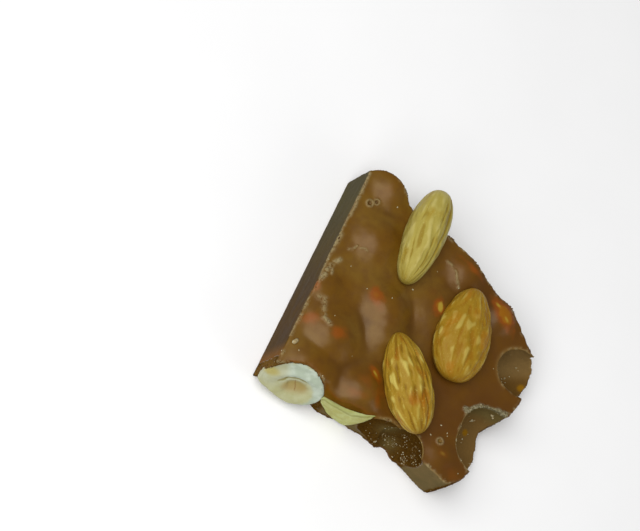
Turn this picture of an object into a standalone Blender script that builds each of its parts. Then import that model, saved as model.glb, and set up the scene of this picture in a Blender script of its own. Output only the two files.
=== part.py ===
"""A broken shard of nut chocolate, lying flat.

The slab was poured in a tray: its left side is the smooth moulded edge, and its
other sides are rough breaks. Three whole almonds lie half sunk in the top, covered
hazelnuts raise the top in low bumps, and the front break shows a split hazelnut, a
sliver of another and the socket that two more fell out of.

Plan coordinates are millimetres from the top front corner of the moulded edge:
X runs along the front break, Y back along the moulded edge, Z up from the underside.
The object's origin is on the underside, at ORIGIN_PLAN.
"""
import math

import bmesh
import bpy
from mathutils import Euler, Matrix, Vector, noise

MM = 0.001
ORIGIN_PLAN = Vector((27.0, 24.0, 0.0))

# --- slab ---------------------------------------------------------------------
THICKNESS = 11.5
FIT_GAP = 0.35          # clearance between the chocolate and each nut
CUT_MARGIN = 3.0        # how far cutting bodies run past the slab

# Break outline, from the front moulded corner round to the back moulded corner:
# top X, top Y, bottom X, bottom Y, crag depth.
BREAK_STATIONS = (
    (0.0, 0.0, -0.25, -1.7, 0.0),
    (3.6, 1.2, 2.6, -1.3, 0.1),
    (7.2, 1.7, 7.0, -1.0, 0.2),
    (10.8, 0.9, 11.0, -1.1, 0.2),
    (14.0, -0.4, 14.2, -1.0, 0.3),
    (18.0, -0.6, 18.2, -1.0, 0.4),
    (22.0, 0.0, 22.4, -0.9, 0.5),
    (26.2, 0.2, 26.8, -1.0, 0.5),
    (30.5, -0.6, 31.2, -1.6, 0.4),
    (34.6, -1.6, 35.6, -2.0, 0.4),
    (38.4, -2.7, 39.4, -2.4, 0.2),
    (42.0, -3.3, 43.0, -3.6, 0.2),
    (45.4, -3.8, 46.4, -4.0, 0.3),
    (47.9, -1.3, 50.0, -0.6, 0.4),
    (49.4, 2.2, 51.9, 2.6, 0.4),
    (50.4, 6.0, 53.0, 6.2, 0.4),
    (49.8, 9.6, 52.4, 9.2, 0.4),
    (49.5, 13.0, 51.3, 12.3, 0.4),
    (52.4, 16.8, 53.4, 15.8, 0.4),
    (53.6, 20.4, 55.6, 19.8, 0.4),
    (53.6, 24.2, 56.6, 23.8, 0.4),
    (54.6, 28.6, 57.6, 28.4, 0.3),
    (53.4, 31.6, 56.8, 33.0, 0.3),
    (50.6, 33.3, 53.0, 35.0, 0.4),
    (47.2, 35.9, 48.6, 37.5, 0.5),
    (43.3, 38.5, 44.2, 39.8, 0.5),
    (39.2, 39.6, 39.8, 40.8, 0.5),
    (35.8, 41.4, 36.4, 42.4, 0.4),
    (29.2, 43.7, 29.6, 44.9, 0.5),
    (22.8, 45.5, 23.0, 46.5, 0.5),
    (17.0, 46.0, 17.2, 46.9, 0.5),
    (11.7, 46.4, 12.0, 47.5, 0.4),
    (8.7, 48.6, 8.9, 49.7, 0.4),
    (6.0, 50.1, 6.2, 51.0, 0.4),
    (2.8, 50.0, 2.6, 50.8, 0.2),
    (0.0, 48.4, -0.25, 48.6, 0.0),
)
BREAK_POINTS = 120
MOULDED_POINTS = 24
CRAG_SIZES = (4.6, 1.9)             # wavelengths of the crags
CRAG_SHARES = (0.65, 0.35)
RING_HEIGHTS = (-CUT_MARGIN, 0.0, 2.4, 4.8, 7.2, 9.6, 12.0, 14.4, 20.0)

# Covered hazelnuts: apex X, apex Y, rise above the plain top, spread.
COVERED_NUTS = (
    (6.2, 47.6, 1.5, 4.2),
    (9.0, 35.2, 1.9, 4.6),
    (17.0, 22.4, 2.3, 4.4),
    (19.0, 18.0, 1.7, 3.8),
    (26.6, 27.8, 2.1, 4.5),
    (28.5, 23.5, 1.3, 4.0),
    (8.3, 12.0, 1.7, 4.6),
    (17.5, 4.9, 1.5, 4.0),
    (29.8, 40.2, 1.6, 4.0),
    (41.3, 35.4, 1.6, 3.6),
    (2.4, 19.8, 0.8, 3.2),
    (41.3, 1.0, 0.7, 3.2),
    (6.8, 2.8, 1.5, 5.2),
)
BUMP_SHOULDER = 2.8                 # above 2, bumps have flatter tops and firmer sides
BUMP_MERGE = 4.0                    # higher keeps a sharper valley between two bumps
WAVE_HEIGHT = 0.25
WAVE_SIZE = 11.0
RELIEF_STEP = 1.15

# Hollows left by nuts that fell out: centre X, Y, Z, then radii X, Y, Z.
HOLLOWS = {
    "front_socket_left": (29.8, -2.4, 8.4, 7.2, 4.1, 8.0),
    "front_socket_right": (33.4, -2.6, 6.8, 5.6, 5.8, 7.0),
    "right_bowl": (51.3, 26.9, 9.0, 6.6, 5.6, 6.0),
    "notch_low": (49.4, 7.7, 9.6, 6.5, 6.5, 7.2),
    "notch_high": (50.0, 10.8, 9.8, 7.2, 6.1, 7.0),
}

# --- nuts ---------------------------------------------------------------------
# Almonds: centre X, Y, Z, length, width, height, heading of the tip, roll, fullness.
# Fullness runs from 0.4, nearly a rod with round ends, to 0.8, a spindle.
ALMONDS = {
    "almond_back": (16.9, 40.8, 13.2, 23.2, 8.9, 10.4, -88.0, 16.0, 0.42),
    "almond_right": (34.3, 26.5, 13.4, 21.7, 13.0, 7.6, 100.0, 0.0, 0.58),
    "almond_front": (27.2, 10.0, 13.4, 21.8, 10.5, 7.8, 129.0, 0.0, 0.58),
}
ALMOND_TAPER = 0.84                 # below 1, the broadest place is nearer the round end
ALMOND_RINGS = 14
ALMOND_SIDES = 20

# Split hazelnut at the front corner: its cut face leans back as it rises.
SPLIT_NUT_CENTRE = (7.0, 0.6, 6.7)
SPLIT_NUT_RADII = (6.55, 8.2, 5.65)
SPLIT_NUT_FACE = (7.0, -1.4, 6.85)
SPLIT_NUT_LEAN = 27.0

# Sliver of a second hazelnut, with two facets that meet in a ridge.
SLIVER_CENTRE = (18.9, 1.1, 6.6)
SLIVER_RADII = (6.0, 4.3, 4.2)
SLIVER_PITCH = -28.0
# Each facet: a point on it, then the way it faces.
SLIVER_FACETS = (
    ((19.0, -1.2, 7.4), (0.0, -0.88, 0.48)),
    ((19.0, -2.1, 4.4), (0.1, -0.93, -0.3)),
)
NUT_SUBDIVISIONS = 3

# --- finishes: colour and roughness -------------------------------------------
CHOCOLATE = ("milk_chocolate", (0.145, 0.078, 0.020), 0.38)
ALMOND_SKIN = ("blanched_almond", (0.36, 0.23, 0.055), 0.45)
HAZELNUT_FLESH = ("hazelnut_flesh", (0.52, 0.53, 0.36), 0.55)


def clear_scene():
    for obj in list(bpy.data.objects):
        bpy.data.objects.remove(obj, do_unlink=True)


def place(x, y, z):
    """Plan millimetres to metres about the object's origin."""
    return (Vector((x, y, z)) - ORIGIN_PLAN) * MM


def make_material(name, colour, roughness):
    material = bpy.data.materials.new(name)
    material.use_nodes = True
    shader = material.node_tree.nodes["Principled BSDF"]
    shader.inputs["Base Color"].default_value = (*colour, 1.0)
    shader.inputs["Roughness"].default_value = roughness
    shader.inputs["Metallic"].default_value = 0.0
    material.diffuse_color = (*colour, 1.0)
    return material


def make_object(name, bm, material=None):
    """Turn a bmesh into a smooth-shaded object."""
    bmesh.ops.recalc_face_normals(bm, faces=bm.faces)
    mesh = bpy.data.meshes.new(name)
    bm.to_mesh(mesh)
    bm.free()
    mesh.shade_smooth()
    mesh.set_sharp_from_angle(angle=math.radians(35))
    if material:
        mesh.materials.append(material)
    obj = bpy.data.objects.new(name, mesh)
    bpy.context.scene.collection.objects.link(obj)
    return obj


def make_cutter(name, bm):
    cutter = make_object(name, bm)
    cutter.hide_render = True
    cutter.display_type = 'WIRE'
    return cutter


def add_boolean(obj, name, operation, cutter=None, cutters=None):
    modifier = obj.modifiers.new(name, 'BOOLEAN')
    modifier.operation = operation
    modifier.solver = 'EXACT'
    if cutters:
        modifier.operand_type = 'COLLECTION'
        modifier.collection = cutters
    else:
        modifier.object = cutter


# --- chocolate ----------------------------------------------------------------
def catmull_rom(p0, p1, p2, p3, t):
    """One span of a Catmull-Rom curve, for tuples of any length."""
    return tuple(
        0.5 * (2 * b + (c - a) * t + (2 * a - 5 * b + 4 * c - d) * t * t
               + (3 * b - a - 3 * c + d) * t ** 3)
        for a, b, c, d in zip(p0, p1, p2, p3))


def break_curve(count):
    """Points along the break, spaced evenly, each in the form of a station."""
    last = len(BREAK_STATIONS) - 1
    fine = []
    for span in range(last):
        p0 = BREAK_STATIONS[max(span - 1, 0)]
        p1, p2 = BREAK_STATIONS[span], BREAK_STATIONS[span + 1]
        p3 = BREAK_STATIONS[min(span + 2, last)]
        fine += [catmull_rom(p0, p1, p2, p3, step / 12) for step in range(12)]
    fine.append(BREAK_STATIONS[last])
    lengths = [0.0]
    for a, b in zip(fine, fine[1:]):
        lengths.append(lengths[-1] + math.dist(a[:2], b[:2]))
    points, here = [], 0
    for index in range(count + 1):
        wanted = lengths[-1] * index / count
        while here < len(fine) - 2 and lengths[here + 1] < wanted:
            here += 1
        share = (wanted - lengths[here]) / (lengths[here + 1] - lengths[here])
        points.append(tuple(a + (b - a) * share for a, b in zip(fine[here], fine[here + 1])))
    return points


def outline_stations():
    """The closed outline: the break, then the straight moulded edge back to its start."""
    stations = break_curve(BREAK_POINTS)
    start, end = BREAK_STATIONS[-1], BREAK_STATIONS[0]
    for index in range(1, MOULDED_POINTS):
        share = index / MOULDED_POINTS
        stations.append(tuple(a + (b - a) * share for a, b in zip(start, end)))
    return stations


def crag(x, y, z):
    """Roughness of the break, from about -1 to 1."""
    return sum(share * noise.noise(Vector((x, y, z)) / size)
               for size, share in zip(CRAG_SIZES, CRAG_SHARES)) * 1.6


def outline_ring(stations, z):
    """The outline at height z, with crags pushed in and out along its normals."""
    lean = z / THICKNESS
    plan = [Vector((b[2] + (b[0] - b[2]) * lean, b[3] + (b[1] - b[3]) * lean)) for b in stations]
    ring = []
    for index, point in enumerate(plan):
        along = (plan[(index + 1) % len(plan)] - plan[index - 1]).normalized()
        outward = Vector((along.y, -along.x))
        push = stations[index][4] * crag(point.x, point.y, z)
        ring.append(place(*(point + outward * push), z))
    return ring


def break_prism():
    """The slab's sides as one tall body, later cut to the slab's top and bottom."""
    stations = outline_stations()
    bm = bmesh.new()
    rings = [[bm.verts.new(p) for p in outline_ring(stations, z)] for z in RING_HEIGHTS]
    count = len(stations)
    for lower, upper in zip(rings, rings[1:]):
        for i in range(count):
            j = (i + 1) % count
            bm.faces.new((lower[i], lower[j], upper[j], upper[i]))
    bm.faces.new(reversed(rings[0]))
    bm.faces.new(rings[-1])
    return bm


def top_height(x, y):
    """Height of the poured top over the plan point (x, y)."""
    merged = 0.0
    for apex_x, apex_y, rise, spread in COVERED_NUTS:
        distance = math.hypot(x - apex_x, y - apex_y)
        bump = rise * math.exp(-(distance / spread) ** BUMP_SHOULDER)
        merged += bump ** BUMP_MERGE
    wave = WAVE_HEIGHT * noise.noise(Vector((x, y, 0.0)) / WAVE_SIZE)
    return THICKNESS + merged ** (1 / BUMP_MERGE) + wave


def relief_block():
    """A block with the flat underside and the poured top, wider than the slab."""
    reach = [s[axis] for s in BREAK_STATIONS for axis in (0, 2)]
    depth = [s[axis] for s in BREAK_STATIONS for axis in (1, 3)]
    low = Vector((min(reach), min(depth))) - Vector((CUT_MARGIN, CUT_MARGIN))
    high = Vector((max(reach), max(depth))) + Vector((CUT_MARGIN, CUT_MARGIN))
    columns = round((high.x - low.x) / RELIEF_STEP)
    rows = round((high.y - low.y) / RELIEF_STEP)
    bm = bmesh.new()
    grid = []
    for row in range(rows + 1):
        y = low.y + (high.y - low.y) * row / rows
        xs = [low.x + (high.x - low.x) * column / columns for column in range(columns + 1)]
        grid.append([bm.verts.new(place(x, y, top_height(x, y))) for x in xs])
    for front, back in zip(grid, grid[1:]):
        for column in range(columns):
            bm.faces.new((front[column], front[column + 1], back[column + 1], back[column]))
    rim = (grid[0] + [line[-1] for line in grid[1:]] + grid[-1][-2::-1]
           + [line[0] for line in grid[-2:0:-1]])
    floor = [bm.verts.new((v.co.x, v.co.y, 0.0)) for v in rim]
    for i in range(len(rim)):
        j = (i + 1) % len(rim)
        bm.faces.new((floor[i], floor[j], rim[j], rim[i]))
    bm.faces.new(reversed(floor))
    return bm


def hollow(centre, radii):
    bm = bmesh.new()
    shape = Matrix.Translation(place(*centre)) @ Matrix.Diagonal((*(Vector(radii) * MM), 1.0))
    bmesh.ops.create_icosphere(bm, subdivisions=NUT_SUBDIVISIONS, radius=1.0, matrix=shape)
    return bm


# --- nuts ---------------------------------------------------------------------
def almond(length, width, height, fullness):
    """A teardrop nut: +Y is its pointed end, +X its width."""
    bm = bmesh.new()
    blunt = bm.verts.new((0.0, -length / 2, 0.0))
    tip = bm.verts.new((0.0, length / 2, 0.0))
    rings = []
    for i in range(1, ALMOND_RINGS):
        share = 0.5 - 0.5 * math.cos(math.pi * i / ALMOND_RINGS)
        swell = math.sin(math.pi * share ** ALMOND_TAPER) ** fullness
        turns = [2 * math.pi * side / ALMOND_SIDES for side in range(ALMOND_SIDES)]
        rings.append([
            bm.verts.new((width / 2 * swell * math.cos(a), (share - 0.5) * length,
                          height / 2 * swell * math.sin(a)))
            for a in turns])
    for lower, upper in zip(rings, rings[1:]):
        for i in range(ALMOND_SIDES):
            j = (i + 1) % ALMOND_SIDES
            bm.faces.new((lower[i], upper[i], upper[j], lower[j]))
    for i in range(ALMOND_SIDES):
        j = (i + 1) % ALMOND_SIDES
        bm.faces.new((blunt, rings[0][i], rings[0][j]))
        bm.faces.new((tip, rings[-1][j], rings[-1][i]))
    bmesh.ops.scale(bm, vec=(MM, MM, MM), verts=bm.verts)
    return bm


def lay_almond(obj, centre, heading, roll):
    """Put an almond in its place with its tip pointing along the heading."""
    obj.location = place(*centre)
    obj.rotation_euler = Euler((0.0, math.radians(roll), math.radians(heading - 90)), 'XYZ')


def hazelnut(centre, radii, pitch=0.0):
    """A whole kernel, its X axis tipped by the pitch about Y."""
    bm = bmesh.new()
    shape = (Matrix.Translation(place(*centre)) @ Matrix.Rotation(math.radians(pitch), 4, 'Y')
             @ Matrix.Diagonal((*(Vector(radii) * MM), 1.0)))
    bmesh.ops.create_icosphere(bm, subdivisions=NUT_SUBDIVISIONS, radius=1.0, matrix=shape)
    return bm


def slice_off(bm, point, outward):
    """Cut away what lies outside a plane and close the cut."""
    cut = bmesh.ops.bisect_plane(
        bm, geom=bm.verts[:] + bm.edges[:] + bm.faces[:], dist=1e-7,
        plane_co=place(*point), plane_no=Vector(outward), clear_outer=True)
    edges = [item for item in cut["geom_cut"] if isinstance(item, bmesh.types.BMEdge)]
    bmesh.ops.holes_fill(bm, edges=edges)


def grown(radii):
    return tuple(r + FIT_GAP for r in radii)


def build_nuts(seats):
    """Make the nuts, and in `seats` the slightly larger bodies that clear them."""
    skin = make_material(*ALMOND_SKIN)
    flesh = make_material(*HAZELNUT_FLESH)
    for name, (x, y, z, *sizes, heading, roll, fullness) in ALMONDS.items():
        nut = make_object(name, almond(*sizes, fullness), skin)
        seat_sizes = (size + 2 * FIT_GAP for size in sizes)
        seat = make_cutter(f"seat_{name}", almond(*seat_sizes, fullness))
        for obj in (nut, seat):
            lay_almond(obj, (x, y, z), heading, roll)
        seats.objects.link(seat)

    lean = math.radians(SPLIT_NUT_LEAN)
    split = hazelnut(SPLIT_NUT_CENTRE, SPLIT_NUT_RADII)
    slice_off(split, SPLIT_NUT_FACE, (0.0, -math.cos(lean), math.sin(lean)))
    make_object("hazelnut_half", split, flesh)
    seats.objects.link(make_cutter("seat_hazelnut_half",
                                   hazelnut(SPLIT_NUT_CENTRE, grown(SPLIT_NUT_RADII))))

    sliver = hazelnut(SLIVER_CENTRE, SLIVER_RADII, SLIVER_PITCH)
    for point, outward in SLIVER_FACETS:
        slice_off(sliver, point, outward)
    make_object("hazelnut_sliver", sliver, flesh)
    seats.objects.link(make_cutter("seat_hazelnut_sliver",
                                   hazelnut(SLIVER_CENTRE, grown(SLIVER_RADII), SLIVER_PITCH)))


def build_chocolate(seats):
    slab = make_object("chocolate", relief_block(), make_material(*CHOCOLATE))
    add_boolean(slab, "break_sides", 'INTERSECT', cutter=make_cutter("break_prism", break_prism()))
    for name, values in HOLLOWS.items():
        seats.objects.link(make_cutter(name, hollow(values[:3], values[3:])))
    add_boolean(slab, "hollows_and_seats", 'DIFFERENCE', cutters=seats)


def main():
    clear_scene()
    seats = bpy.data.collections.new("seats")
    build_nuts(seats)
    build_chocolate(seats)


main()
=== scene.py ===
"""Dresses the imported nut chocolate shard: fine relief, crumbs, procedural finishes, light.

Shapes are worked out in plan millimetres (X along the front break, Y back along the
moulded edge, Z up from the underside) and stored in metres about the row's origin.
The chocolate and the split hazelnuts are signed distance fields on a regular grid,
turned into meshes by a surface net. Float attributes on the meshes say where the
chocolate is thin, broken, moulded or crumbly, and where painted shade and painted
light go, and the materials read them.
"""

import math

import bpy
import numpy as np
from mathutils import Euler, Matrix, Vector, noise


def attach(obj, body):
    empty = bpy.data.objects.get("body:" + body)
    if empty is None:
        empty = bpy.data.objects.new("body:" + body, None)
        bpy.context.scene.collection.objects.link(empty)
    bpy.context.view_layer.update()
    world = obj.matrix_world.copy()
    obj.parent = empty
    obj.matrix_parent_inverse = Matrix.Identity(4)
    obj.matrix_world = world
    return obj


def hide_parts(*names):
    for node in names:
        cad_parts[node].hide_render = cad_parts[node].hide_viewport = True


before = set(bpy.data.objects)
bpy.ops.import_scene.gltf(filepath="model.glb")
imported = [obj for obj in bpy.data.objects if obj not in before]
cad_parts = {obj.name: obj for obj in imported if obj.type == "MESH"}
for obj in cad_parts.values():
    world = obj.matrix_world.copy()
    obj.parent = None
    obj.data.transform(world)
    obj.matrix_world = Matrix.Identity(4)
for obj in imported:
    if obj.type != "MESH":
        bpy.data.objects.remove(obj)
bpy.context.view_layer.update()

MM = 0.001
ORIGIN_PLAN = np.array((27.0, 24.0, 0.0))

# --- slab, close to the solids --------------------------------------------------
THICKNESS = 11.5
# top X, top Y, bottom X, bottom Y, crag depth
BREAK_STATIONS = (
    (0.0, -0.8, -0.25, -1.9, 0.0),
    (3.4, 1.0, 2.6, -1.4, 0.1),
    (7.2, 1.7, 7.0, -1.0, 0.2),
    (10.8, 0.9, 11.0, -1.1, 0.2),
    (14.0, -0.4, 14.2, -1.0, 0.3),
    (18.0, -0.6, 18.2, -1.0, 0.4),
    (22.0, 0.0, 22.4, -0.9, 0.5),
    (26.2, 0.2, 26.8, -1.0, 0.5),
    (30.5, -0.6, 31.2, -1.6, 0.4),
    (34.6, -1.6, 35.6, -2.0, 0.4),
    (38.4, -2.7, 39.4, -2.4, 0.2),
    (42.0, -3.3, 43.0, -3.6, 0.2),
    (45.4, -3.8, 46.4, -4.0, 0.3),
    (47.9, -1.3, 50.0, -0.6, 0.4),
    (49.4, 2.2, 51.9, 2.6, 0.4),
    (50.4, 6.0, 53.0, 6.2, 0.4),
    (49.8, 9.6, 52.4, 9.2, 0.4),
    (49.5, 13.0, 51.3, 12.3, 0.4),
    (52.4, 16.8, 53.4, 15.8, 0.4),
    (53.6, 20.4, 55.6, 19.8, 0.4),
    (53.6, 24.2, 56.6, 23.8, 0.4),
    (54.6, 28.6, 57.6, 28.4, 0.3),
    (53.4, 31.6, 56.8, 33.0, 0.3),
    (50.6, 33.3, 53.0, 35.0, 0.4),
    (47.2, 35.9, 48.6, 37.5, 0.5),
    (43.3, 38.5, 44.2, 39.8, 0.5),
    (39.2, 39.6, 39.8, 40.8, 0.5),
    (35.8, 41.4, 36.4, 42.4, 0.4),
    (29.2, 43.7, 29.6, 44.9, 0.5),
    (22.8, 45.5, 23.0, 46.5, 0.5),
    (17.0, 46.0, 17.2, 46.9, 0.5),
    (11.7, 46.4, 12.0, 47.5, 0.4),
    (8.7, 48.6, 8.9, 49.7, 0.4),
    (6.0, 50.1, 6.2, 51.0, 0.4),
    (2.8, 50.0, 2.6, 50.8, 0.2),
    (0.0, 48.4, -0.25, 48.6, 0.0),
)
CRAG_SIZES = (4.6, 1.9)
CRAG_SHARES = (0.65, 0.35)

# Covered hazelnuts: apex X, apex Y, rise above the plain top, spread.
COVERED_NUTS = (
    (6.9, 47.8, 1.6, 4.4),
    (9.0, 35.0, 1.9, 4.9),
    (17.0, 22.4, 2.3, 4.5),
    (19.0, 17.8, 1.7, 4.0),
    (26.8, 28.0, 1.1, 5.2),
    (28.5, 23.5, 0.4, 4.0),
    (8.5, 11.2, 1.8, 5.0),
    (19.5, 3.8, 1.85, 4.2),
    (30.2, 40.2, 1.6, 4.2),
    (41.3, 35.4, 1.6, 3.6),
    (2.4, 19.8, 0.8, 3.2),
    (41.3, 1.0, 0.7, 3.2),
    (7.1, 2.6, 1.32, 4.8),
)
BUMP_SHOULDER = 2.8
BUMP_MERGE = 4.0
WAVE_HEIGHT = 0.25
WAVE_SIZE = 11.0

# Hollows left by nuts that fell out: centre X, Y, Z, then radii X, Y, Z.
HOLLOWS = {
    "front_socket_left": (29.8, -2.4, 8.4, 7.2, 4.1, 8.0),
    "front_socket_right": (33.4, -2.6, 6.8, 5.6, 5.8, 7.0),
    "right_bowl": (51.3, 26.9, 9.0, 6.6, 5.6, 6.0),
    "notch_low": (49.4, 7.7, 9.6, 6.5, 6.5, 7.2),
    "notch_high": (50.0, 10.6, 9.8, 7.2, 5.8, 7.0),
}

# Almonds: centre X, Y, Z, length, width, height, heading of the tip, roll, fullness.
ALMONDS = {
    "almond_back": (16.9, 40.8, 13.2, 23.2, 8.9, 10.4, -88.0, 16.0, 0.42),
    "almond_right": (34.3, 26.5, 13.4, 21.7, 12.8, 7.6, 97.0, 0.0, 0.48),
    "almond_front": (27.2, 10.0, 13.4, 21.8, 10.5, 7.8, 129.0, 0.0, 0.52),
}
ALMOND_TAPER = {"almond_back": 0.84, "almond_right": 0.8, "almond_front": 0.9}
# Seed, then flat strips round the nut and their depth, ridges and their depth, lumps' depth.
ALMOND_RELIEF = {
    "almond_back": (60, 9, 0.30, 20, 0.06, 0.12),
    "almond_right": (61, 14, 0.10, 26, 0.14, 0.20),
    "almond_front": (62, 18, 0.20, 32, 0.28, 0.20),
}
# Long furrows: angle round the nut in degrees, half width in degrees, depth.
ALMOND_FURROWS = {
    "almond_back": ((143, 4.0, 0.34), (118, 3.0, 0.16), (62, 3.5, 0.14)),
    "almond_right": ((78, 3.0, 0.14), (112, 3.0, 0.12), (44, 3.0, 0.12)),
    "almond_front": ((66, 3.5, 0.30), (40, 3.0, 0.26), (130, 4.0, 0.28), (88, 2.5, 0.16)),
}

# Ellipsoids: centre X, Y, Z, then radii X, Y, Z. The horn is the split nut's left end.
SPLIT_NUT = np.array((7.0, 0.6, 6.7, 6.55, 8.2, 5.65))
SPLIT_NUT_HORN = (2.6, -2.0, 4.9, 3.1, 2.6, 3.0)
SPLIT_NUT_FACE = (7.0, -1.4, 6.85)
SPLIT_NUT_LEAN = 27.0
SPLIT_NUT_TURN = 29.0

# The sliver's own axes: along it, up its cut face, and out of that face.
SLIVER_MIDDLE = (19.0, -0.6, 8.0)
SLIVER_AXES = ((0.8123, 0.3988, 0.4256), (-0.4964, 0.8559, 0.1452), (-0.3064, -0.3292, 0.8932))
SLIVER_OUTLINE = (
    (-5.12, 1.76), (-5.04, 2.47), (-4.41, 2.88), (-3.16, 2.28), (-0.86, 1.03), (1.03, 0.10),
    (3.32, -0.65), (4.99, -0.94), (6.52, -1.12), (5.41, -1.77), (3.53, -2.50), (1.44, -3.02),
    (-0.44, -3.13), (-1.69, -2.82), (-2.94, -1.78), (-4.20, -0.22))
SLIVER_RIDGE = ((-4.4, 2.2), (-2.28, 0.74), (1.38, -1.15), (4.52, -1.44), (6.52, -1.12))
SLIVER_DEPTH = ((-5.0, 7.0), (2.0, 7.0), (3.6, 4.0), (5.0, 2.0), (6.6, 1.0))

# --- light and camera -----------------------------------------------------------
LIGHT_LEVEL = 1.2                   # as it falls on a level surface
GLOSS_VEIL = 0.008
SKY_STRENGTH = 0.2
LIGHTS = (                          # name, direction, distance, size, power
    ("key", (-0.43, -0.15, 0.88), 0.6, 0.7, 3.9),
    ("front_fill", (-0.25, -0.85, 0.5), 0.6, 0.3, 0.6),
    ("right_fill", (0.85, -0.2, 0.5), 0.7, 0.35, 0.5),
)
FLOOR_REACH = 1.5
CAMERA_LENS = 90.5625
CAMERA_SENSOR = 36.0
CAMERA_PLACE = (-0.11151, -0.13583, 0.30976)
CAMERA_AXES = (                     # right, up, back
    (0.8162, 0.4051, 0.4119), (-0.5218, 0.8229, 0.2247), (-0.2479, -0.3984, 0.8831))

# --- fine detail ----------------------------------------------------------------
CHOCOLATE_BLOCK = ((-2.6, -7.0, -0.7), (59.9, 53.8, 15.4))
CHOCOLATE_PITCH = 0.28
SLIVER_BLOCK = ((11.5, -4.2, 0.4), (28.0, 7.5, 13.6))
NUT_PITCH = 0.17
NUT_MARGIN = 0.6                    # room round the split nut in its block
UNDERSIDE_SNAP = 0.12               # what is this low is set flat on the floor
MENISCUS = 0.5                      # how wide the chocolate creeps up the almonds
BUBBLES = (                         # X, Y, radius
    (3.07, 41.47, 0.75),
    (4.33, 42.51, 0.6),
    (39.72, 3.3, 0.7),
)
# Thin films over hazelnuts: X, Y, radius along and across, heading, strength.
FILMS = (
    (12.9, 23.4, 2.4, 1.6, 122, 0.85),
    (14.6, 21.6, 1.8, 1.2, 122, 0.3),
    (8.7, 11.4, 2.1, 1.6, 20, 0.7),
    (2.0, 11.2, 2.7, 1.4, 40, 0.62),
    (5.0, 12.6, 2.4, 1.4, 26, 0.22),
    (0.2, 18.4, 2.0, 1.0, 90, 0.58),
    (20.5, 8.2, 2.1, 1.1, -35, 1.1),
    (22.9, 3.6, 2.0, 1.1, -60, 0.55),
    (41.5, 36.1, 3.7, 1.8, 145, 1.4),
    (30.0, 41.4, 3.8, 0.8, -17, 0.5),
    (30.5, 41.0, 1.3, 0.9, -17, 0.7),
    (26.8, 29.1, 2.1, 1.5, 96, 1.0),
    (52.6, 23.0, 1.7, 0.9, 45, 1.0),
    (3.5, 0.8, 1.8, 0.9, 20, 0.5),
    (41.2, 1.1, 1.5, 1.2, 0, 0.3),
    (44.2, 8.0, 1.6, 1.0, 60, 0.8),
    (53.4, 25.0, 2.0, 1.3, 60, 0.9),
    (45.5, -1.6, 3.0, 1.6, -20, 0.28),
    (5.2, 46.3, 2.6, 1.6, 60, 0.2),
    (28.0, 40.3, 2.6, 1.8, -17, 0.22),
    (18.0, 2.3, 3.4, 1.2, 5, 0.36),
    (22.6, 5.2, 2.6, 1.7, 60, 0.4),
    (24.3, 31.2, 2.2, 1.4, 60, 0.2),
    (19.2, 5.9, 2.8, 2.2, 30, 0.36),
)
# Where the film is thinnest and the nut's pale skin shows, in the same way.
CORES = (
    (27.2, 29.4, 1.35, 0.65, 96, 1.0),
    (39.4, 37.3, 1.0, 0.55, 145, 0.6),
    (42.3, 35.2, 1.0, 0.5, 145, 0.6),
    (44.0, 7.8, 0.9, 0.6, 60, 0.85),
    (20.3, 8.4, 1.0, 0.35, -35, 0.75),
    (41.2, 1.1, 1.0, 0.8, 0, 0.4),
    (39.7, 3.3, 0.7, 0.7, 0, 0.4),
    (52.8, 22.9, 0.8, 0.5, 45, 0.6),
)
# The thick crumbly crust on the rim of the notch: a run of points.
CRUST = ((42.4, 12.7), (43.3, 12.8), (44.1, 13.7), (45.6, 15.1), (47.0, 15.5), (48.3, 15.6),
         (49.3, 16.1), (51.4, 16.6))
# Golden stains inside the hollows: X, Y, Z, radius.
STAINS = ((47.9, 11.4, 3.1, 0.9), (55.4, 27.0, 4.6, 1.0))
# Soft light inside the front socket: X, Y, Z, radius, strength.
SHEENS = ((30.6, 2.2, 5.4, 2.4, 1.0), (33.4, 0.6, 1.4, 1.8, 0.8))
# Single crumbs: X, Y, Z, size.
LONE_CRUMBS = (
    (1.4, 5.1, 12, 0.62), (1.9, 5.4, 12, 0.5), (2.9, 3.75, 12, 0.22), (4.0, 2.9, 12, 0.25),
    (6.5, 14.5, 12, 0.2), (16.2, 24.5, 13, 0.2), (10.6, 23.9, 12, 0.2), (20.1, 29.8, 12, 0.3),
    (9.0, 44.2, 12, 0.2), (38.9, 6.6, 12, 0.26), (40.5, 5.6, 12, 0.22), (40.9, 5.4, 12, 0.18),
    (37.1, 3.6, 12, 0.24), (46.6, -0.8, 12, 0.16), (35.2, 18.0, 12, 0.15), (44.6, 24.3, 12, 0.16),
    (23.6, 36.6, 12, 0.18), (5.4, 26.4, 12, 0.16), (13.9, 9.2, 12, 0.15),
    (51.4, 27.8, 3.1, 0.26), (51.7, 27.4, 3.1, 0.2), (51.6, 26.1, 3.1, 0.22), (51.2, 26.3, 3.1, 0.16),
    (51.0, 27.0, 3.1, 0.18), (52.7, 30.4, 4.5, 0.28), (53.1, 30.1, 4.5, 0.2), (52.6, 28.6, 3.6, 0.14),
    (50.5, 16.3, 7.0, 0.45), (50.1, 16.3, 6.9, 0.3), (50.9, 16.2, 7.0, 0.3), (47.6, 14.1, 4.4, 0.36),
    (47.9, 14.0, 4.3, 0.3), (47.5, 13.8, 4.2, 0.24), (48.1, 14.3, 4.6, 0.2), (46.3, 11.9, 5.0, 0.25),
    (46.2, 11.3, 5.0, 0.2), (48.4, 9.4, 2.9, 0.2), (48.2, 9.9, 2.9, 0.22),
)
# How much grains gather on each kind of surface.
PALE_CRUMBS_ON = {"dust": 1.0, "pit": 0.04, "rim": 0.2, "scuff": 0.2, "broken": 0.05, "crust": 0.8}
DARK_FLAKES_ON = {"rim": 1.0, "broken": 0.5}
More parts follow.
